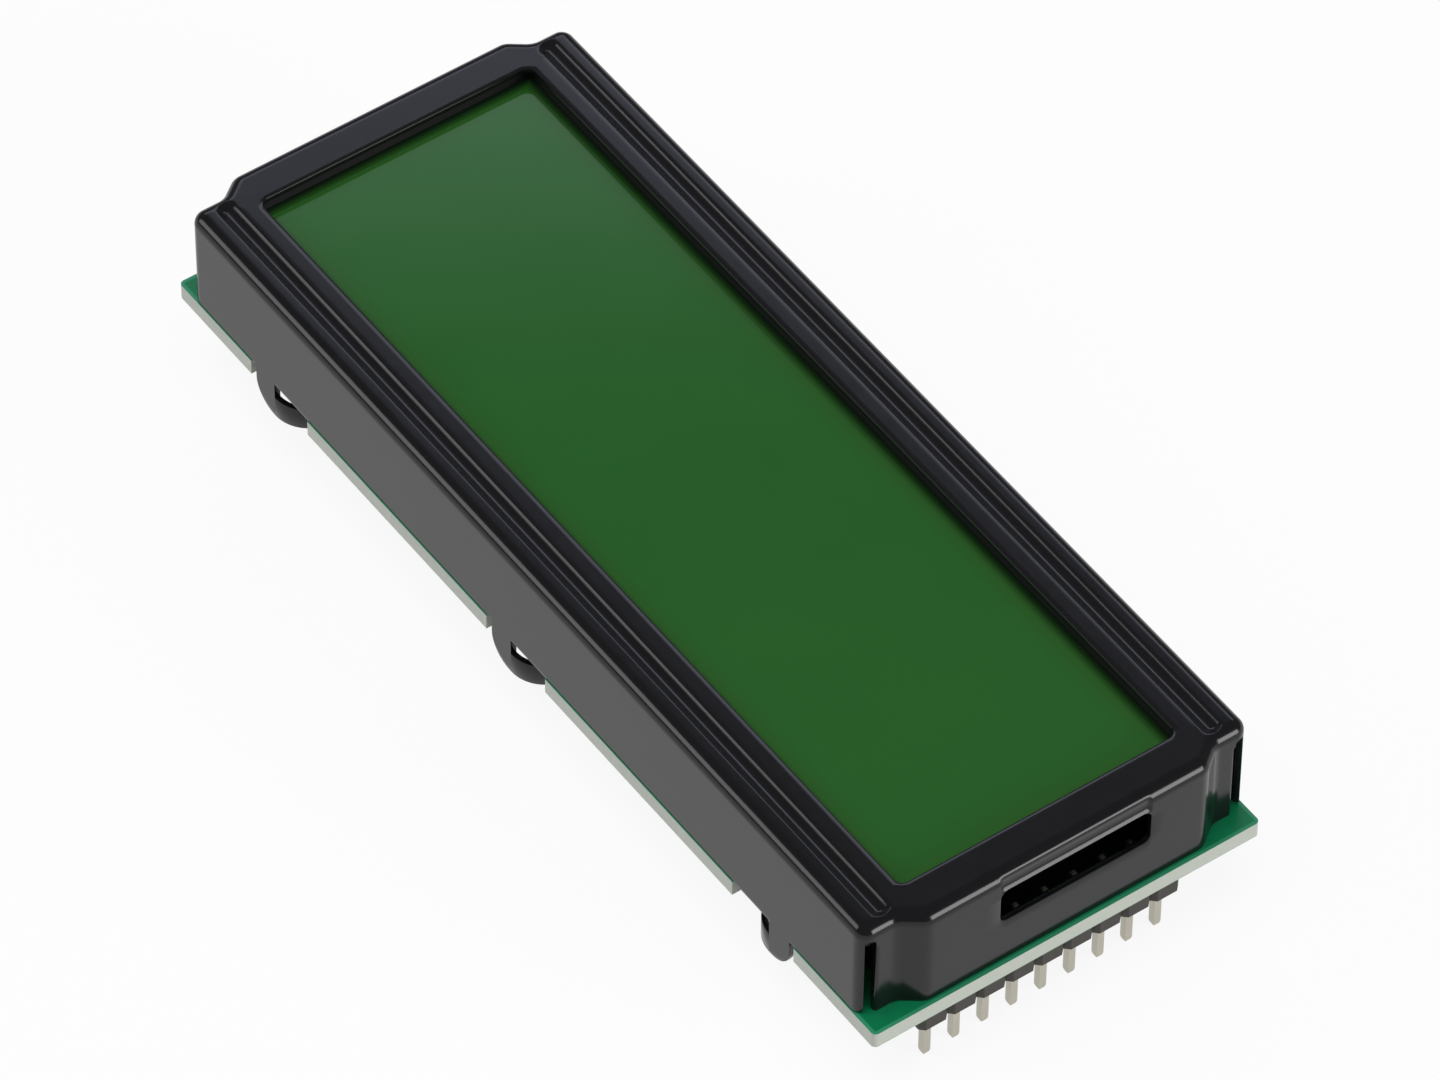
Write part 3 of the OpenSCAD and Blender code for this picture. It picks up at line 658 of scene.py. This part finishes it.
def bezel_body():
    """
    The folded sheet as one closed surface. Each row is the outline moved in by an inset at a height:
    up the outer wall, round the fold (inset R (1 - cos a), height R sin a), across the top to the window's
    edge by a straight blend, and back along the underside. The top rows sink by groove_sink. The slot's
    cells are left out, and a ring with round edges joins both skins there.
    """
    outline, normal = bezel_outline()
    foot = wall_foot(outline)
    low, high = slot_edge(outline, -1), slot_edge(outline, 1)
    scale = (FOLD_START - foot) / (FOLD_START - BOARD_TOP)
    foot_edge = BOARD_TOP + EDGE
    rows = []

    def ring(inset, height):
        inset = np.broadcast_to(inset, foot.shape)[:, None]
        rows.append(np.column_stack([outline - inset * normal, np.broadcast_to(height, foot.shape)]))

    def wall(level, skin):
        height = FOLD_START - (FOLD_START - level) * scale
        turned = slit_inset(outline, height) if skin == 0 else 0.0
        ring(skin + lip_inset(outline, height) + turned, height)

    def fold(angle, radius):
        height = FOLD_START + radius * math.sin(angle)
        ring(FOLD - radius * math.cos(angle) + lip_inset(outline, np.full(len(foot), height)), height)

    def level_row(plan, height):
        rows.append(np.column_stack([plan, np.full(len(foot), height)]))

    for angle in QUARTER[::-1]:
        back, up = edge_turn(angle)
        ring(slit_inset(outline, foot) + back, foot + up)
    for part in BELOW_SLOT:
        wall(foot_edge + part * (low - foot_edge), 0)
    gap = [len(rows) - 1]
    for part in ABOVE_SLOT:
        wall(high + part * (FOLD_START - high), 0)
    fold_row = len(rows)
    for angle in FOLD_TURNS:
        fold(angle, FOLD)
    fold_end = outline - FOLD * normal
    rim = window_edge(fold_end, EDGE)
    for part in TOP_SHARES:
        level_row((1 - part) * fold_end + part * rim, TOP)
    for angle in QUARTER[1:]:
        down, out = edge_turn(angle)
        level_row(window_edge(fold_end, out), TOP - down)
    for angle in QUARTER[::-1]:
        up, out = edge_turn(angle)
        level_row(window_edge(fold_end, out), TOP - SHEET + up)
    for part in UNDER_SHARES:
        level_row((1 - part) * fold_end + part * rim, TOP - SHEET)
    under_end = len(rows)
    for angle in INNER_FOLD_TURNS:
        fold(angle, FOLD - SHEET)
    for part in INNER_ABOVE_SLOT:
        wall(high + part * (FOLD_START - high), SHEET)
    gap.append(len(rows) - 1)
    for part in INNER_BELOW_SLOT:
        wall(foot_edge + part * (low - foot_edge), SHEET)
    for angle in QUARTER:
        back, up = edge_turn(angle)
        ring(SHEET - back, foot + up)

    points = np.stack(rows)
    sunk = slice(fold_row, under_end)
    points[sunk, :, 2] -= groove_sink(points[sunk]) * (points[sunk, :, 2] > TOP - SHEET - HAIR)
    near_end = outline[:, 0] > END_FACE - HAIR
    inside = near_end & (np.abs(outline[:, 1] - SLOT_SHIFT) < SLOT_HALF[0] + EDGE + HAIR / 2)
    keep = np.ones((len(rows), len(foot)), bool)
    keep[np.ix_(gap, inside & np.roll(inside, -1))] = False
    body = surface(points, close_rows=True, close_columns=True, keep=keep)
    return [body, slot_ring(points, np.flatnonzero(inside), gap)]


def slot_ring(points, places, gap):
    """
    The slot's edge through the sheet: the hole's outline moves in by e sin a while it goes back by
    e (1 - cos a), and the same way out again at the inner face.
    """
    loop = np.concatenate([points[gap[0], places], points[gap[0] + 1, places[::-1]]])
    half, radius = SLOT_HALF + EDGE, SLOT_CORNER + EDGE
    centred = loop[:, 1:] - [SLOT_SHIFT, SLOT_MIDDLE]
    away = centred - np.clip(centred, radius - half, half - radius)
    away /= np.linalg.norm(away, axis=1, keepdims=True)
    shrinks = EDGE * np.sin(np.concatenate([QUARTER, QUARTER[::-1]]))
    front = EDGE * (1 - np.cos(QUARTER))
    depths = np.concatenate([front, SHEET - front[::-1]])
    rings = [np.column_stack([loop[:, 0] - depth, loop[:, 1:] - shrink * away])
             for shrink, depth in zip(shrinks, depths)]
    return surface(np.stack(rings), close_columns=True)


def hook_arm(place, way, side):
    """A hook's arm: a round-edged strip carried along an arc that bends in under the board."""
    low, high, inner, outer = HOOK_BOTTOM, HOOK_BOTTOM + ARM_HEIGHT, ARM_RADIUS - SHEET, ARM_RADIUS
    radii, heights = [], []
    for centre_r, centre_z, start in ((outer - EDGE, high - EDGE, 0), (inner + EDGE, high - EDGE, 90),
                                      (inner + EDGE, low + EDGE, 180), (outer - EDGE, low + EDGE, 270)):
        radii.extend(centre_r + EDGE * np.cos(QUARTER + math.radians(start)))
        heights.extend(centre_z + EDGE * np.sin(QUARTER + math.radians(start)))
    radii, heights = np.array(radii), np.array(heights)
    bend = spread(0, ARM_ANGLE - EDGE / ARM_RADIUS, ARM_TURN)
    angles = np.concatenate([[0.0], bend, [ARM_ANGLE, ARM_ANGLE]])
    shrink = np.concatenate([[0.0], np.ones(len(angles) - 3), [ARM_TIP, 0.0]])[:, None]
    r = radii.mean() + shrink * (radii - radii.mean())
    z = heights.mean() + shrink * (heights - heights.mean())
    x = place + way * (NECK - HOOK_START + r * np.sin(angles)[:, None])
    y = side * (SIDE_FACE - ARM_RADIUS + r * np.cos(angles)[:, None])
    return surface(grid(x, y, z), close_columns=True)


def make_bezel():
    """The folded bezel with its six hooks."""
    arms = [hook_arm(place, way, side) for place, way in HOOK_PLACES for side in (-1, 1)]
    piece("bezel_sheet", "bezel_black", bezel_body() + arms, replaced=("bezel",))


def pin(centre, half, low, high):
    """
    One square pin. Its section is |x|^p + |y|^p = w^p. From a flat tip of half width f, w grows to the
    shank's half width w0 as f + (w0 - f) sin a while the height grows as r (1 - cos a), and it shrinks so
    at the other end.
    """
    turn = full_turn(PIN_SIDES)
    reach = (np.abs(np.cos(turn)) ** PIN_POWER + np.abs(np.sin(turn)) ** PIN_POWER) ** (-1 / PIN_POWER)
    widths = np.concatenate([[0.0], PIN_FLAT + (half - PIN_FLAT) * np.sin(PIN_TURNS)])
    rises = np.concatenate([[0.0], PIN_ROUND * (1 - np.cos(PIN_TURNS))])
    widths = np.concatenate([widths, widths[::-1]])[:, None]
    heights = np.concatenate([low + rises, (high - rises)[::-1]])[:, None]
    x = centre[0] + widths * np.cos(turn) * reach
    y = centre[1] + widths * np.sin(turn) * reach
    return surface(grid(x, y, heights), close_columns=True)


def make_pins(name, node):
    """A header's row of pins, evenly spaced between the solid row's ends."""
    low, high = corners(node)
    half = (high[0] - low[0]) / 2
    count = round((high[1] - low[1] - 2 * half) / PIN_PITCH) + 1
    places = [(low[0] + half, low[1] + half + i * PIN_PITCH) for i in range(count)]
    piece(name, "pin_tinned", [pin(place, half, low[2], high[2]) for place in places], replaced=(node,))


def make_resin_cap(name, node, phase):
    """
    A drop of resin under a chip. Its rim has the radius R(t) = r (0.965 + 0.02 cos 2t + 0.012 cos 5t). At a
    share s of R it hangs down by h (1 - s^2.4)^0.75 (1 - 0.04 s^2 (1 - cos 3t)). A flat disc closes it at
    the board.
    """
    low, high = corners(node)
    centre, radius, height = (low + high) / 2, (high[0] - low[0]) / 2, high[2] - low[2]
    turn = full_turn(ROUND_SIDES)
    share = np.sin(spread(0, math.pi / 2, CAP_TURN))[:, None]
    rim = radius * (0.965 + 0.02 * np.cos(2 * turn + phase) + 0.012 * np.cos(5 * turn + 3 * phase))
    drop = height * (1 - share ** 2.4) ** 0.75 * (1 - 0.04 * share ** 2 * (1 - np.cos(3 * turn + phase)))
    share = np.vstack([share, [[0.0]]])
    drop = np.vstack([drop, 0 * turn])
    x = centre[0] + share * rim * np.cos(turn)
    y = centre[1] + share * rim * np.sin(turn)
    piece(name, "resin_black", [surface(grid(x, y, high[2] - drop), close_columns=True)], replaced=(node,))


def block(centre, half):
    """A soft-edged block: |x/a|^p + |y/b|^p + |z/c|^p = 1, in polar form on a grid of two angles."""
    across = full_turn(BLOCK_SIDES)
    rise = np.linspace(-math.pi / 2, math.pi / 2, BLOCK_ROWS)[:, None]
    way = grid(np.cos(rise) * np.cos(across), np.cos(rise) * np.sin(across), np.sin(rise))
    reach = (np.abs(way) ** BLOCK_POWER).sum(axis=-1, keepdims=True) ** (-1 / BLOCK_POWER)
    return surface(np.asarray(centre) + way * reach * np.asarray(half), close_columns=True)


def fillet(x, y, way, height):
    """Solder that runs down from a chip's end to its pad: a hollow quarter curve carried across the chip."""
    run = SOLDER_RUN * (1 - np.sin(SOLDER_TURNS))[::-1]
    fall = height * (1 - np.cos(SOLDER_TURNS))[::-1] * SOLDER_HOLLOW + SOLDER_THIN
    out = np.concatenate([[0.0], run, [SOLDER_FOOT, SOLDER_FOOT, 0.0]])
    down = np.concatenate([[height], fall, [SOLDER_THIN, 0.0, 0.0]])
    across = SOLDER_ACROSS * (CHIP_WIDTH / 2 + SOLDER_SIDE)
    y_out = out.mean() + SOLDER_SHARE * (out - out.mean())
    z_down = down.mean() + SOLDER_SHARE * (down - down.mean())
    return surface(grid(x + across, y + way * y_out, BOARD_BOTTOM - z_down), close_columns=True)


def chip_places(count):
    """Places of a row of chips along the board."""
    return (np.arange(count) - (count - 1) / 2) * CHIP_PITCH


def make_chip_ends():
    """Tinned ends and solder of the chips under the board."""
    made = []
    for count, side, height in (RESISTORS, CAPACITORS):
        for x in chip_places(count):
            for way in (-1, 1):
                end = side * CHIP_Y + way * CHIP_LENGTH / 2
                half = (CHIP_WIDTH / 2 + TIN_SKIN, TIN_HALF + TIN_SKIN / 2, height / 2 + TIN_SKIN / 2)
                made.append(block((x, end - way * (TIN_HALF - TIN_SKIN / 2), BOARD_BOTTOM - half[2]), half))
                made.append(fillet(x, end + way * TIN_SKIN / 2, way, SOLDER_CLIMB * height))
    piece("chip_ends", "solder_tin", made)


def ribbon(path, width, height, closed=False):
    """
    A low strip on the board's underside. A path's point moves aside by (n1 + n2) / (1 + n1.n2) times the
    half width, n1 and n2 being the normals of the runs before and after it. Its section is flat with
    sloping sides, and an open strip is drawn to a point at both ends.
    """
    path = np.asarray(path, dtype=float)
    run = np.roll(path, -1, axis=0) - path if closed else np.diff(path, axis=0)
    run /= np.linalg.norm(run, axis=1, keepdims=True)
    before = np.roll(run, 1, axis=0) if closed else np.vstack([run[:1], run])
    after = run if closed else np.vstack([run, run[-1:]])
    first, second = before[:, ::-1] * [-1, 1], after[:, ::-1] * [-1, 1]
    aside = (first + second) / (1 + (first * second).sum(axis=1, keepdims=True))
    if not closed:
        path, aside = path[[0, *range(len(path)), -1]], aside[[0, *range(len(aside)), -1]]
    share = np.ones((len(path), 1))
    if not closed:
        share[[0, -1]] = 0.0
    across = share * (width / 2 * STRIP_ACROSS)
    x = path[:, :1] + across * aside[:, :1]
    y = path[:, 1:] + across * aside[:, 1:]
    z = BOARD_BOTTOM - share * (height * STRIP_DROP)
    return surface(grid(x, y, z), close_rows=closed, close_columns=True)


def header_paths():
    """Tracks from each header to the nearer resin cap: straight, a slope of 45 degrees, and a bus."""
    low, high = corners("header_pins_near")
    half = (high[0] - low[0]) / 2
    pins = np.arange(low[1] + half, high[1], PIN_PITCH)
    bus = (np.arange(len(pins)) - (len(pins) - 1) / 2) * BUS_PITCH
    into = CAP_X + np.sqrt(CAP_RADIUS ** 2 - bus ** 2) - BUS_LAP
    paths = []
    for side in (-1, 1):
        for pin_y, bus_y, end in zip(pins, bus, into):
            slope_end = BUS_START + abs(pin_y - bus_y)
            stops = [(HEADER_EDGE, pin_y), (slope_end, pin_y), (BUS_START, bus_y), (end, bus_y)]
            paths.append([(side * x, y) for x, y in stops])
    return paths


def chip_paths():
    """Straight tracks between the resin caps, tracks from the chips to the caps, and one outside each row."""
    paths = [[(-LINK_END, y), (LINK_END, y)] for y in LINK_ROWS]
    inner = CHIP_Y - CHIP_LENGTH / 2 - PAD
    for count, side, _ in (RESISTORS, CAPACITORS):
        for x in chip_places(count):
            way = math.copysign(1, x)
            level = FAN_LEVEL + FAN_RISE * (abs(x) + FAN_SHIFT)
            corner = abs(x) + inner - FAN_DROP - level
            end = CAP_X - math.sqrt(CAP_RADIUS ** 2 - level ** 2) + FAN_LAP
            stops = [(abs(x), inner), (abs(x), inner - FAN_DROP), (corner, level), (end, level)]
            paths.append([(way * a, side * b) for a, b in stops])
    outer = CHIP_Y + CHIP_LENGTH / 2 + PAD + PAD
    for side in (-1, 1):
        paths.append([(-RING_RADIUS - CAP_X, side * outer), (CAP_X + RING_RADIUS, side * outer)])
    return paths


def make_tracks():
    """Copper tracks under the green mask on the board's underside."""
    paths = header_paths() + chip_paths()
    piece("tracks", "board_green", [ribbon(path, TRACK_WIDTH, TRACK_HEIGHT) for path in paths])


def make_vias():
    """Small tinned rings at the ends of some tracks: each is a low ring profile turned about its middle."""
    turn = full_turn(VIA_SIDES)
    rings = []
    for x in VIA_X:
        for y in (-CHIP_Y - VIA_PAST_CHIP, CHIP_Y + VIA_PAST_CHIP):
            across, along = x + VIA_RADII * np.cos(turn), y + VIA_RADII * np.sin(turn)
            rings.append(surface(grid(across, along, BOARD_BOTTOM - VIA_DROPS), close_columns=True))
    piece("vias", "solder_tin", rings)


def make_printed_lines():
    """White printed outlines: a circle round each resin cap and a frame round each chip."""
    turn = full_turn(ROUND_SIDES)
    circle = RING_RADIUS * np.stack([np.cos(turn), np.sin(turn)], axis=1)
    lines = [ribbon(circle + [side * CAP_X, 0], INK_WIDTH, INK_HEIGHT, closed=True) for side in (-1, 1)]
    frame_half = np.array([CHIP_WIDTH / 2, CHIP_LENGTH / 2]) + INK_GAP
    corner = frame_half * np.array([(-1, -1), (1, -1), (1, 1), (-1, 1)])
    for count, side, _ in (RESISTORS, CAPACITORS):
        for x in chip_places(count):
            lines.append(ribbon(corner + [x, side * CHIP_Y], INK_WIDTH, INK_HEIGHT, closed=True))
    piece("printed_lines", "sheet_white", lines)


make_bezel()
make_pins("pins_near", "header_pins_near")
make_pins("pins_far", "header_pins_far")
make_resin_cap("resin_near", "chip_cap_near", 0.6)
make_resin_cap("resin_far", "chip_cap_far", 2.3)
make_chip_ends()
make_tracks()
make_vias()
make_printed_lines()


# ---------------------------------------------------------------- camera, floor and light

# The lens is long and the camera well back, as in a catalogue picture. Angles are in degrees
VIEW_AZIMUTH = 54.17
VIEW_ELEVATION = 48.43
VIEW_ROLL = 0.49
VIEW_DISTANCE = 748.8 * MM
VIEW_TARGET = Vector((0.06 * MM, 1.08 * MM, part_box("circuit_board")[1][2]))
LENS = 258.3
FARTHEST = 20.0

# Half the floor's width in metres, its finish, and the share of it that is an even white, which is
# dimmer in reflections. The last two are the light from all round
FLOOR_HALF = 3.0
FLOOR_TONE = 0.9
FLOOR_ROUGH = 0.9
FLOOR_GLOW = 0.9
FLOOR_MIRRORED = 0.82
ROOM_LIGHT = 0.17
ROOM_COLOUR = (0.98, 0.98, 1.0, 1.0)

# Greatest steps of a card's surface across and upward, in degrees
CARD_STEPS = (3.0, 1.0)


def direction(azimuth, elevation):
    """Unit vector from the module towards an azimuth, 0 being -Y and 90 +X, and an elevation, in degrees."""
    a, e = math.radians(azimuth), math.radians(elevation)
    return Vector((math.sin(a) * math.cos(e), -math.cos(a) * math.cos(e), math.sin(e)))


def facing(azimuth, elevation, distance, roll=0.0):
    """The placing of a lamp or camera that looks at the target along its own -Z, rolled about that axis."""
    away = direction(azimuth, elevation)
    turn = away.to_track_quat("Z", "Y").to_matrix().to_4x4() @ Matrix.Rotation(math.radians(roll), 4, "Z")
    return Matrix.Translation(VIEW_TARGET + distance * away) @ turn


def make_camera():
    """A camera with a long lens."""
    lens = bpy.data.cameras.new("camera")
    lens.lens = LENS
    lens.clip_end = FARTHEST
    camera = placed("camera", lens)
    camera.matrix_world = facing(VIEW_AZIMUTH, VIEW_ELEVATION, VIEW_DISTANCE, VIEW_ROLL)
    bpy.context.scene.camera = camera


def white_to_eye(tree, paths, otherwise):
    """A strength that is 1 for camera rays and another value for the rest."""
    level = add(tree, "ShaderNodeMapRange", To_Min=otherwise)
    tree.links.new(paths.outputs["Is Camera Ray"], level.inputs["Value"])
    return level.outputs["Result"]


def mixed(tree, share, first, second):
    """The output of a Mix Shader: the first shader where the share is 0, and the second where it is 1."""
    mix = tree.nodes.new("ShaderNodeMixShader")
    for socket, source in zip(mix.inputs, (share, first, second)):
        tree.links.new(source, socket)
    return mix.outputs["Shader"]


def make_floor():
    """
    A wide pale floor under the pins. To the eye, in reflections and through glass most of its light is an
    even white, and the rest is what the lamps give it, so that the module's soft shadow stays. The eye sees
    through it from under.
    """
    mesh = bpy.data.meshes.new("floor")
    square = ((-1, -1), (1, -1), (1, 1), (-1, 1))
    mesh.from_pydata([(FLOOR_HALF * x, FLOOR_HALF * y, 0) for x, y in square], [], [(0, 1, 2, 3)])
    floor = placed("floor", mesh)
    made, tree, shader = material("floor_white")
    shader.inputs["Base Color"].default_value = (FLOOR_TONE, FLOOR_TONE, FLOOR_TONE, 1.0)
    shader.inputs["Roughness"].default_value = FLOOR_ROUGH
    glow = tree.nodes.new("ShaderNodeEmission")
    clear = tree.nodes.new("ShaderNodeBsdfTransparent")
    sides = tree.nodes.new("ShaderNodeNewGeometry")
    paths = tree.nodes.new("ShaderNodeLightPath")
    tree.links.new(white_to_eye(tree, paths, FLOOR_MIRRORED), glow.inputs["Strength"])
    eye = paths.outputs["Is Camera Ray"]
    shown = maths(tree, "MAXIMUM", paths.outputs["Is Glossy Ray"], paths.outputs["Is Transmission Ray"])
    share = maths(tree, "MULTIPLY", maths(tree, "MAXIMUM", eye, shown), FLOOR_GLOW)
    above = mixed(tree, share, shader.outputs["BSDF"], glow.outputs["Emission"])
    under = maths(tree, "MULTIPLY", sides.outputs["Backfacing"], eye)
    output = next(node for node in tree.nodes if node.type == "OUTPUT_MATERIAL")
    tree.links.new(mixed(tree, under, above, clear.outputs["BSDF"]), output.inputs["Surface"])
    made.cycles.emission_sampling = "NONE"
    mesh.materials.append(made)


def make_lamp(name, azimuth, elevation, distance, width, height, power, mirrored=True):
    """A soft rectangular lamp that faces the module; mirrored says whether glossy surfaces show it."""
    data = bpy.data.lights.new(name, "AREA")
    data.shape = "RECTANGLE"
    data.size = width
    data.size_y = height
    data.energy = power
    lamp = placed(name, data)
    lamp.visible_camera = False
    lamp.visible_glossy = mirrored
    lamp.matrix_world = facing(azimuth, elevation, distance)


def make_card(name, azimuth, low, high, half_width, distance, colour, strength, fade_from, fade_to, faint):
    """A dim glowing card, part of a ball round the module, that grows faint between two elevations."""
    across = np.radians(azimuth + spread(-half_width, half_width, CARD_STEPS[0]))
    rise = np.radians(spread(low, high, CARD_STEPS[1]))[:, None]
    flat = distance * np.cos(rise)
    points, faces = surface(grid(flat * np.sin(across), -flat * np.cos(across), distance * np.sin(rise)))
    mesh = bpy.data.meshes.new(name)
    mesh.from_pydata(points.tolist(), [], faces.tolist())
    card = placed(name, mesh)
    made, tree, shader = material(name)
    shader.inputs["Base Color"].default_value = (0.0, 0.0, 0.0, 1.0)
    shader.inputs["Emission Strength"].default_value = strength
    fade = add(tree, "ShaderNodeMapRange", interpolation_type="SMOOTHSTEP",
               From_Min=distance * math.sin(math.radians(fade_from)),
               From_Max=distance * math.sin(math.radians(fade_to)), To_Min=1.0, To_Max=faint)
    tint = add(tree, "ShaderNodeVectorMath", operation="SCALE")
    tint.inputs[0].default_value = colour
    tree.links.new(point_axes(tree)["Z"], fade.inputs["Value"])
    tree.links.new(fade.outputs["Result"], tint.inputs["Scale"])
    tree.links.new(tint.outputs["Vector"], shader.inputs["Emission Color"])
    made.cycles.emission_sampling = "NONE"
    mesh.materials.append(made)
    card.visible_camera = False


def make_world():
    """Dim even light from all round, and plain white to the eye."""
    world = bpy.data.worlds.new("room")
    world.use_nodes = True
    tree = world.node_tree
    shade = tree.nodes["Background"]
    shade.inputs["Color"].default_value = ROOM_COLOUR
    paths = tree.nodes.new("ShaderNodeLightPath")
    tree.links.new(white_to_eye(tree, paths, ROOM_LIGHT), shade.inputs["Strength"])
    bpy.context.scene.world = world


make_camera()
make_floor()
make_world()
make_lamp("top_softbox", azimuth=20, elevation=75, distance=1.5, width=1.2, height=1.2, power=15.5,
          mirrored=False)
make_lamp("left_softbox", azimuth=-34.5, elevation=26, distance=1.0, width=0.45, height=0.45, power=1.9)
make_lamp("right_softbox", azimuth=113.8, elevation=13, distance=1.0, width=0.5, height=0.5, power=5.4)
make_card("back_card", azimuth=-126, low=36, high=49.4, half_width=30, distance=1.6,
          colour=(0.8, 0.83, 1.0), strength=2.4, fade_from=42.0, fade_to=48.0, faint=0.053)
bpy.context.scene.view_settings.view_transform = "Standard"
